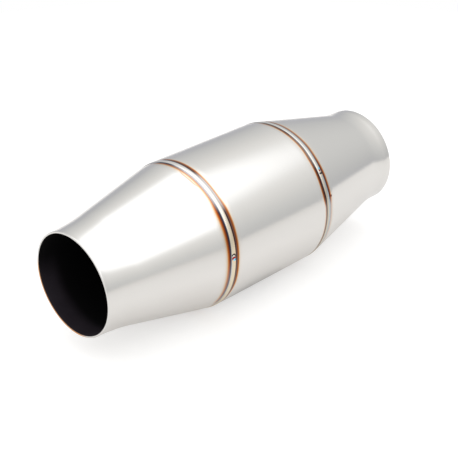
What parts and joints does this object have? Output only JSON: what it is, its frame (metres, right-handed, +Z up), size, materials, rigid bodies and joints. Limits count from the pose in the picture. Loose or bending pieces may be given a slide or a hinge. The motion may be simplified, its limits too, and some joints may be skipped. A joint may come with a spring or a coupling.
{
  "type": "catalytic converter",
  "caption": "Round straight-through catalytic converter: polished steel barrel and two tapering cones with plain necks, girth-welded, around a rolled foil core.",
  "frame": {"origin": "on the line of flow, half way between the two mouths and half way along the barrel", "axes": "+X along the flow, from the inlet at -X to the outlet at +X, +Z up with the converter lying level"},
  "size_m": [0.3088, 0.118, 0.118],
  "materials": {
    "polished_steel": "polished stainless sheet, heat-tinted beside the welds",
    "weld_metal": "rippled weld bead, as welded",
    "jacket_steel": "dull, oxidised by brazing",
    "coated_foil": "matt, with a thin ceramic wash coat"
  },
  "bodies": {
    "root": {"inlet_cone": "polished_steel", "inlet_girth_weld": "weld_metal", "barrel_shell": "polished_steel", "shell_seam_weld": "polished_steel", "outlet_girth_weld": "weld_metal", "outlet_cone": "polished_steel", "core_jacket": "jacket_steel", "flat_foil": "coated_foil", "corrugated_foil": "coated_foil"}
  },
  "joints": []
}
